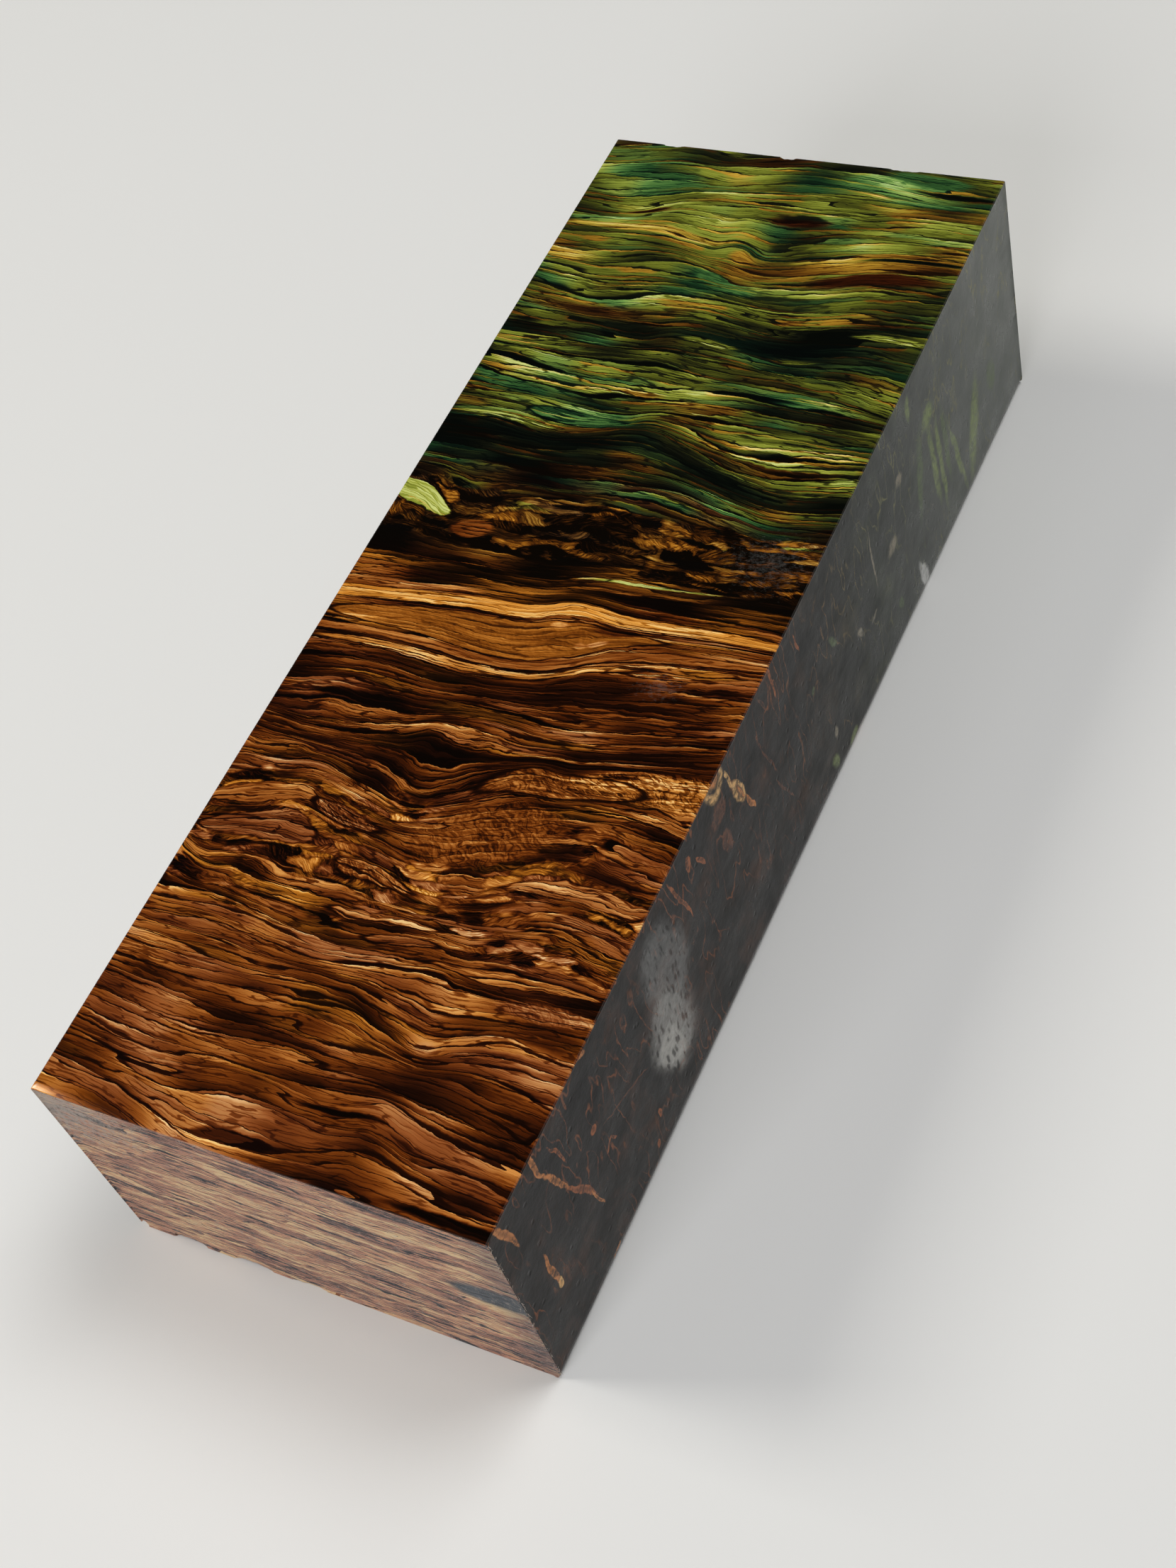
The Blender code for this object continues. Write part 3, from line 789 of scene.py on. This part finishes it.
sawnLook = {
    "torn": {"size": (6.0, 2.4, 40.0), "shift": (2.2, 0.9, 0.0)},
    "frayed": {"size": (0.9, 0.4, 40.0), "shift": (0.5, 0.16, 0.0)},
    "ribbon": {"thickness": 1.7, "swell": 2.6, "size": (14.0, 3.2), "run": 12.0, "seed": 12.7},
    "thread": {"thickness": 0.36, "swell": 2.4, "size": (12.0, 0.9), "run": 7.0, "seed": 55.1},
    "streak": (2.4, 0.20),  # mm
    "fuzz": (0.7, 0.10),
    "brownEnd": [(0.0, "#26262b"), (0.18, "#4e4a4b"), (0.36, "#8c6655"), (0.52, "#bb836a"), (0.70, "#d39a7a"),
                 (0.86, "#e2b082"), (1.0, "#efcf9c")],
    "greenEnd": [(0.0, "#23291d"), (0.24, "#414a30"), (0.42, "#656a41"), (0.58, "#84804e"), (0.78, "#9c9358"),
                 (1.0, "#b9ae74")],
    "bare": [(0.36, "#2c3137"), (0.62, "#60676b")],
    "dust": "#beb0a2",
    # bands of their own: middle and half sizes as (across, up) in mm, and how much lighter the wood is
    "bands": [
        ((-6.0, 15.6), (22.0, 1.7), 0.20), ((2.0, 17.2), (13.0, 0.5), 0.30),
        ((-4.0, 13.8), (13.0, 0.4), 0.26), ((13.0, 22.0), (11.0, 3.0), 0.14),
        ((6.0, 4.2), (18.0, 2.4), 0.10), ((-6.5, 8.6), (4.4, 0.8), -0.42),
        ((-17.0, 9.8), (6.0, 0.4), -0.34), ((10.0, 6.3), (14.0, 0.35), -0.34),
        ((2.0, 12.1), (12.0, 0.35), -0.24), ((15.0, 25.6), (9.0, 0.9), -0.36),
        ((-6.0, 25.6), (10.0, 1.6), -0.20), ((20.5, 3.0), (3.4, 4.0), -0.22),
        ((7.0, 20.2), (4.0, 1.2), -0.22),
    ],
}


def sawnWood():
    # Raw sawn ends, cut along the fibres: matte and dusty, with torn streaks, and not soaked so dark
    look = sawnLook
    material, add = newMaterial("rawSawnWood")
    place = placeInMillimetres(add)
    x, y, z = add("SeparateXYZ", place, out=allThree)
    flat = add("CombineXYZ", x, z, y)
    bent = shiftByNoise(add, shiftByNoise(add, flat, look["torn"]), look["frayed"], detail=3.0)
    ribbonHeight, ribbonTone, _, ribbonGap = layersOf(add, bent, look["ribbon"], crowded=False)
    threadHeight, threadTone, _, threadGap = layersOf(add, bent, look["thread"], crowded=False)
    streak = noiseOver(add, bent, *look["streak"], detail=4.0, roughness=0.7)
    tone = addShares(add, 0.66, (1.15, ribbonTone), (1.3, threadTone), (1.5, streak), (0.2, threadHeight))
    # dark lines between the threads and between the ribbons
    for height, opening, most, depth in (
            (threadHeight, threadGap, 0.62, -0.42), (ribbonHeight, ribbonGap, 0.16, -0.5)):
        gap = add("MapRange", opening, 0.40, 0.75, 0.04, most)
        near = add("Math DIVIDE", height, gap)
        dark = add("MapRange", near, 0.5, 1.2, depth, 0.0)
        tone = add("Math ADD", tone, dark)
    for middle, reach, lift in look["bands"]:
        inside = insideEllipse(add, bent, middle, reach)
        cover = add("MapRange", inside, 0.0, 0.6, 0.0, lift, **smooth)
        tone = add("Math ADD", tone, cover)
    brown = add("ValToRGB", tone, stops=look["brownEnd"])
    green = add("ValToRGB", tone, stops=look["greenEnd"])
    atGreenEnd = add("Math GREATER_THAN", y, 12.0)
    colour = layOver(add, brown, (atGreenEnd, green))

    # a blue grey lens that took no stain, a greyer band towards the right edge, and dust, thickest at the
    # upper left
    inside = insideEllipse(add, bent, (21.0, 14.6), (6.2, 2.1))
    cover = add("MapRange", inside, 0.0, 0.3, **smooth)
    bare = add("ValToRGB", streak, stops=look["bare"])
    colour = layOver(add, colour, (cover, bare))
    highlightAndGreyEdge = add("MapRange", x, 18.5, 23.0, 0.0, 0.5, **smooth)
    colour = layOver(add, colour, (highlightAndGreyEdge, bare))
    away = add("VectorMath SUBTRACT", flat, (-25.0, 26.0, 0.0))
    away = add("VectorMath MULTIPLY", away, (1 / 15.0, 1 / 11.0, 0.0))
    corner = add("TexGradient", away, **ellipsoid)
    specks = add("TexNoise", to={"Vector": flat, "Scale": 1.9, "Detail": 6.0, "Roughness": 0.75})
    dusty = add("Math MULTIPLY_ADD", corner, 0.34, specks)
    dusty = add("MapRange", dusty, 0.54, 0.76, 0.0, 0.85)
    colour = layOver(add, colour, (dusty, look["dust"]))

    fuzz = noiseOver(add, bent, *look["fuzz"], detail=5.0, roughness=0.75)
    height = add("Math MULTIPLY_ADD", threadHeight, 0.5, fuzz)
    height = add("Math MULTIPLY_ADD", ribbonHeight, 0.6, height)
    relief = add("Bump", to={"Strength": 0.9, "Distance": 0.00035, "Height": height})
    finishMaterial(add, {
        "Base Color": colour, "Roughness": 0.88, "IOR": 1.45, "Specular IOR Level": 0.25, "Normal": relief,
        "Sheen Weight": 0.12, "Sheen Roughness": 0.5})
    return material


# The block

blockShape = {
    "brownEndThickness": 27.0,  # mm; the green end is as thick as the frame says
    "sandedEdge": 1.2,  # mm, the lower right edge
    "cornerShare": 0.35,  # of that width at the near right corner, and at the crisp edges
    "crispShare": 0.15,
    "edgeSteps": 3,
    "cuts": {"x": (12, 13), "y": (89,), "z": (10, 9)},
    # ridges that the saw left on the ends, and the unevenness of the sanded sides: depth and size in mm
    "sawnRidges": [(0.24, (3.4, 1.0, 0.42)), (0.20, (1.0, 1.0, 0.22))],
    "sidePools": [(0.10, (1.0, 7.0, 5.0)), (0.03, (1.0, 1.8, 1.6))],
    # pieces that broke out of the edges: middle, half sizes and lean in degrees
    "breaks": [
        ((-17.4, -64.0, 0.0), (2.1, 0.6, 0.75), 5), ((-10.0, -64.0, 0.0), (2.3, 0.6, 0.55), 4),
        ((-3.6, -64.0, 0.0), (2.2, 0.4, 0.25), 0), ((-23.0, -64.0, 0.0), (0.7, 0.7, 0.8), 0),
        ((23.0, 11.4, 0.0), (0.8, 3.2, 1.0), 0), ((-23.0, -31.0, 0.0), (0.5, 2.4, 0.6), 0),
        ((-23.0, 38.5, 0.0), (0.7, 3.0, 0.8), 0), ((-14.2, 64.0, 0.0), (2.4, 0.7, 0.9), -6),
        ((12.8, 64.0, 0.0), (3.1, 0.9, 1.2), 4), ((-15.9, 64.0, 29.0), (1.5, 0.35, 0.3), 0),
        ((-1.8, 64.0, 29.0), (1.1, 0.4, 0.35), 0), ((11.6, 64.0, 29.0), (1.9, 0.3, 0.3), 0),
    ],
}


def selectOnly(*pieces):
    # the first one becomes the active one
    bpy.ops.object.select_all(action="DESELECT")
    for piece in pieces:
        piece.select_set(True)
    bpy.context.view_layer.objects.active = pieces[0]


def selectEdges(piece, test):
    # leaves only the edges selected whose ends pass the test
    mesh = piece.data
    bpy.ops.object.mode_set(mode="EDIT")
    bpy.ops.mesh.select_mode(type="EDGE")
    bpy.ops.mesh.select_all(action="DESELECT")
    bpy.ops.object.mode_set(mode="OBJECT")
    for edge in mesh.edges:
        start, end = (mesh.vertices[index].co for index in edge.vertices)
        edge.select = test(start, end)
    bpy.ops.object.mode_set(mode="EDIT")


def edgeShare(start, end):
    # how much of the sanded edge's width this edge is eased by
    middle = (start + end) / 2
    runsUp = abs(start.z - end.z) > millimetre
    runsAlong = abs(start.y - end.y) > millimetre
    if middle.x > 0 and middle.z < millimetre and runsAlong:
        return 1.0
    if middle.x > 0 and middle.y < 0 and runsUp:
        return blockShape["cornerShare"]
    return blockShape["crispShare"]


def easeEdges(piece):
    for share in (blockShape["crispShare"], blockShape["cornerShare"], 1.0):
        selectEdges(piece, lambda a, b: edgeShare(a, b) == share)
        bpy.ops.transform.edge_bevelweight(value=share)
        bpy.ops.object.mode_set(mode="OBJECT")
    bevel = piece.modifiers.new("easedEdges", "BEVEL")
    bevel.limit_method = "WEIGHT"
    bevel.width = blockShape["sandedEdge"] * millimetre
    bevel.segments = blockShape["edgeSteps"]
    bpy.ops.object.modifier_apply(modifier=bevel.name)


def divideFaces(piece):
    # rows fine enough to take the marks of the saw
    mesh = piece.data
    for axis, cuts in blockShape["cuts"].items():
        number = "xyz".index(axis)
        for count in cuts:
            ends = [[mesh.vertices[index].co[number] for index in edge.vertices] for edge in mesh.edges]
            longest = max(abs(start - end) for start, end in ends)
            selectEdges(piece, lambda a, b: abs((a - b)[number]) > longest * 0.8)
            bpy.ops.mesh.subdivide(number_cuts=count)
            bpy.ops.object.mode_set(mode="OBJECT")


def roughen(piece, name, direction, depth, size, seed, test):
    # pushes the points that pass the test inwards by a stretched cloud texture
    group = piece.vertex_groups.new(name=name)
    group.add([v.index for v in piece.data.vertices if test(v)], 1.0, "REPLACE")
    cloud = bpy.data.textures.new(name, "CLOUDS")
    cloud.noise_scale = 1.0
    cloud.noise_depth = 3
    bpy.ops.object.empty_add(location=(seed * 0.0137, seed * 0.0071, 0.0))
    gauge = bpy.context.object
    gauge.scale = Vector(size) * millimetre
    bpy.context.view_layer.update()
    selectOnly(piece)
    displace = piece.modifiers.new(name, "DISPLACE")
    displace.texture = cloud
    displace.texture_coords = "OBJECT"
    displace.texture_coords_object = gauge
    displace.vertex_group = name
    displace.direction = direction[-1]
    displace.mid_level = 0.0
    displace.strength = depth * millimetre * (1 if direction[0] == "+" else -1)
    bpy.ops.object.modifier_apply(modifier=displace.name)
    bpy.data.objects.remove(gauge)
    bpy.data.textures.remove(cloud)
    piece.vertex_groups.remove(piece.vertex_groups[name])


def breakOut(piece, finishes):
    # takes uneven pebbles out of the edges, all in one cut that leaves raw wood
    bpy.ops.object.select_all(action="DESELECT")
    pebbles = []
    for number, (place, halfSizes, lean) in enumerate(blockShape["breaks"]):
        bpy.ops.mesh.primitive_ico_sphere_add(subdivisions=3, radius=1)
        pebble = bpy.context.object
        bpy.ops.object.mode_set(mode="EDIT")
        bpy.ops.mesh.select_all(action="SELECT")
        bpy.ops.transform.vertex_random(offset=0.16, uniform=0.0, normal=0.5, seed=number + 1)
        bpy.ops.object.mode_set(mode="OBJECT")
        pebble.scale = Vector(halfSizes) * millimetre
        pebble.rotation_euler.y = math.radians(lean)
        pebble.location = Vector(place) * millimetre
        bpy.ops.object.transform_apply(location=True, rotation=True, scale=True)
        pebbles.append(pebble)
    for pebble in pebbles:
        pebble.select_set(True)
    bpy.ops.object.join()
    joined = bpy.context.object
    for material in finishes:
        joined.data.materials.append(material)
    for face in joined.data.polygons:
        face.material_index = rawSawn
    selectOnly(piece)
    cut = piece.modifiers.new("breaks", "BOOLEAN")
    cut.operation = "DIFFERENCE"
    cut.solver = "EXACT"
    cut.object = joined
    bpy.ops.object.modifier_apply(modifier=cut.name)
    bpy.data.objects.remove(joined)


polished, endGrain, rawSawn, sanded = range(4)  # the order of the block's finishes


def finishFor(face):
    spot = face.center / millimetre
    normal = face.normal
    if abs(spot.y) > 63.3 and abs(normal.y) > 0.5:
        return rawSawn
    if normal.z > 0.97:
        return polished
    if normal.z > 0.3 and abs(spot.y) < 63.9 or normal.z < -0.8:
        return sanded
    return endGrain


def makeBlock(finishes):
    bpy.ops.object.select_all(action="DESELECT")
    middle = (lowCorner + highCorner) / 2
    bpy.ops.mesh.primitive_cube_add(size=1, location=middle, scale=highCorner - lowCorner)
    bpy.ops.object.transform_apply(location=True, rotation=True, scale=True)
    piece = bpy.context.object
    piece.name = "stabilisedBlock"
    drop = highCorner.z - blockShape["brownEndThickness"] * millimetre
    selectEdges(piece, lambda a, b: min(a.z, b.z) > middle.z and max(a.y, b.y) < 0)
    bpy.ops.transform.translate(value=(0, 0, -drop))
    bpy.ops.object.mode_set(mode="OBJECT")
    easeEdges(piece)
    divideFaces(piece)
    for number, (depth, size) in enumerate(blockShape["sawnRidges"]):
        roughen(piece, "brownEndSawn", "+Y", depth, size, 3 + number, lambda v: v.normal.y < -0.9)
        roughen(piece, "greenEndSawn", "-Y", depth, size, 11 + number, lambda v: v.normal.y > 0.9)
    for number, (depth, size) in enumerate(blockShape["sidePools"]):
        roughen(piece, "rightPools", "-X", depth, size, 21 + number, lambda v: v.normal.x > 0.9)
        roughen(piece, "leftPools", "+X", depth, size, 31 + number, lambda v: v.normal.x < -0.9)
    for material in finishes:
        piece.data.materials.append(material)
    for face in piece.data.polygons:
        face.material_index = finishFor(face)
    breakOut(piece, finishes)
    writeGrain(piece)
    bpy.ops.object.shade_smooth_by_angle(angle=math.radians(35))
    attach(piece, "root")
    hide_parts("wood_block")
    triangles = sum(len(face.vertices) - 2 for face in piece.data.polygons)
    print("block made,", triangles, "triangles")


def tornFibre():
    # Torn wood fibre: pale, dry and dull, as it stands off a sawn edge
    material, add = newMaterial("tornWoodFibre")
    place = placeInMillimetres(add)
    patches = add("TexNoise", to={"Vector": place, "Scale": 1.4, "Detail": 2.0})
    colour = add("ValToRGB", patches, stops=[(0.38, "#8d7a6c"), (0.62, "#c9beb2")])
    finishMaterial(add, {"Base Color": colour, "Roughness": 0.9, "Sheen Weight": 0.15})
    return material


burrShape = {
    "count": 480,
    "length": (0.2, 0.95),  # mm
    "thickness": 0.05,
    "seed": 17,
}


def makeBurr(material):
    # torn fibres that still hang on the sawn edges: one is modelled, and the others are copies of it
    look = burrShape
    bpy.ops.object.select_all(action="DESELECT")
    bpy.ops.mesh.primitive_cone_add(vertices=4, radius1=0.5, radius2=0.12, depth=1, location=(0, 0, 0.5))
    fibre = bpy.context.object
    selectEdges(fibre, lambda a, b: abs(a.z - b.z) > 0.5)
    bpy.ops.mesh.subdivide(number_cuts=4)
    bpy.ops.object.mode_set(mode="OBJECT")
    bend = fibre.modifiers.new("curled", "SIMPLE_DEFORM")
    bend.deform_method = "BEND"
    bend.deform_axis = "X"
    bend.angle = math.radians(58)
    bpy.ops.object.modifier_apply(modifier=bend.name)
    fibre.data.materials.append(material)

    draws = random.Random(look["seed"])
    endY = lowCorner.y / millimetre
    topZ = blockShape["brownEndThickness"]
    sideX = highCorner.x / millimetre
    fibres = [fibre]
    for number in range(look["count"]):
        if number % 20 < 8:  # the top edge of the brown end
            root = (draws.uniform(-sideX + 0.3, sideX - 0.3), endY + 0.12, topZ - draws.uniform(0.1, 0.5))
            turn = (math.radians(draws.uniform(35, 125)), 0, math.radians(draws.uniform(-70, 70)))
        elif number % 20 < 15:  # the near right corner
            root = (sideX - draws.uniform(0.0, 0.45), endY + 0.3, draws.uniform(0.5, topZ - 0.3))
            turn = (math.radians(draws.uniform(50, 130)), 0, math.radians(draws.uniform(0, 90)))
        else:  # anywhere on the brown end
            root = (draws.uniform(-sideX + 1, sideX - 1), endY + 0.2, draws.uniform(0.6, topZ - 0.6))
            turn = (math.radians(draws.uniform(60, 100)), 0, math.radians(draws.choice((-80, 80))))
        copy = fibre.copy()
        copy.data = fibre.data.copy()
        bpy.context.collection.objects.link(copy)
        copy.location = Vector(root) * millimetre
        copy.rotation_euler = turn
        thickness = look["thickness"] * draws.uniform(0.5, 1.3) * millimetre
        length = draws.uniform(0, 1) ** 2
        length = look["length"][0] + length * (look["length"][1] - look["length"][0])
        copy.scale = (thickness, thickness, length * millimetre)
        fibres.append(copy)
    bpy.data.objects.remove(fibres.pop(0))
    bpy.context.view_layer.update()
    selectOnly(*fibres)
    bpy.ops.object.transform_apply(location=True, rotation=True, scale=True)
    bpy.ops.object.join()
    burr = bpy.context.object
    burr.name = "sawnBurr"
    bpy.ops.object.shade_smooth()
    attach(burr, "root")
    print("burr made")


def makeFloor():
    # Matte white board: a plain pale ground
    bpy.ops.object.select_all(action="DESELECT")
    bpy.ops.mesh.primitive_plane_add(size=6)
    floor = bpy.context.object
    floor.name = "floor"
    material, add = newMaterial("matteWhiteBoard")
    finishMaterial(add, {"Base Color": "#e2e2df", "Roughness": 0.7})
    floor.data.materials.append(material)


# The photographer's place: the lens and the turn follow the perspective of the block

cameraSetup = {
    "place": (94.5, -116.9, 183.2),
    "forward": (-0.4109, 0.4806, -0.7747),
    "up": (-0.2151, 0.7747, 0.5947),
    "lens": 51.2,
}


def makeCamera():
    bpy.ops.object.camera_add(location=Vector(cameraSetup["place"]) * millimetre)
    camera = bpy.context.object
    forward = Vector(cameraSetup["forward"]).normalized()
    right = forward.cross(Vector(cameraSetup["up"])).normalized()
    up = right.cross(forward)
    turn = camera.rotation_euler.to_matrix()
    for row in range(3):
        turn[row] = (right[row], up[row], -forward[row])
    camera.rotation_euler = turn.to_euler()
    camera.data.lens = cameraSetup["lens"]
    camera.data.sensor_width = 36
    camera.data.clip_start = 0.01
    bpy.context.scene.camera = camera


lightSetup = {
    # place in metres, size, watts and colour
    "leftWindow": {"place": (-0.68, -0.14, 0.70), "size": 0.34, "watts": 4.1, "colour": "#fffcf6"},
    "overheadSheet": {"place": (0.26, 0.36, 0.92), "size": 0.50, "watts": 5.0, "colour": "#ffffff"},
    "frontFill": {"place": (0.02, -0.84, 0.36), "size": 0.50, "watts": 5.2, "colour": "#fbfaff"},
}
roomLight = {
    "colour": "#eef0f2",
    "horizon": 0.50,  # strengths at the horizon and above
    "above": 0.02,
    "horizonTop": 0.5,  # the sine of the height above which the room is dark
}


def makeLights():
    for name, look in lightSetup.items():
        bpy.ops.object.light_add(type="AREA", location=look["place"])
        light = bpy.context.object
        light.name = name
        light.data.shape = "SQUARE"
        light.data.size = look["size"]
        light.data.energy = look["watts"]
        light.data.color = linearColour(look["colour"])[:3]
        aim = Vector((0, 0, 0.01)) - light.location
        light.rotation_euler = aim.to_track_quat("-Z", "Y").to_euler()
    world = bpy.data.worlds.new("softRoom")
    bpy.context.scene.world = world
    add = emptyTree(world)
    direction = add("TexCoord", out="Generated")
    up = add("SeparateXYZ", direction, out=2)
    look = roomLight
    strength = add("MapRange", up, 0.0, look["horizonTop"], look["horizon"], look["above"], **smooth)
    background = add("Background", look["colour"], strength)
    add("OutputWorld", background)
    bpy.context.scene.view_settings.view_transform = "Standard"


makeFloor()
makeCamera()
makeLights()
sawnFinish = sawnWood()
polishedFinish = polishedWood()
makeBlock([polishedFinish, resinEndGrain(), sawnFinish, sandedWood(polishedFinish)])
makeBurr(tornFibre())
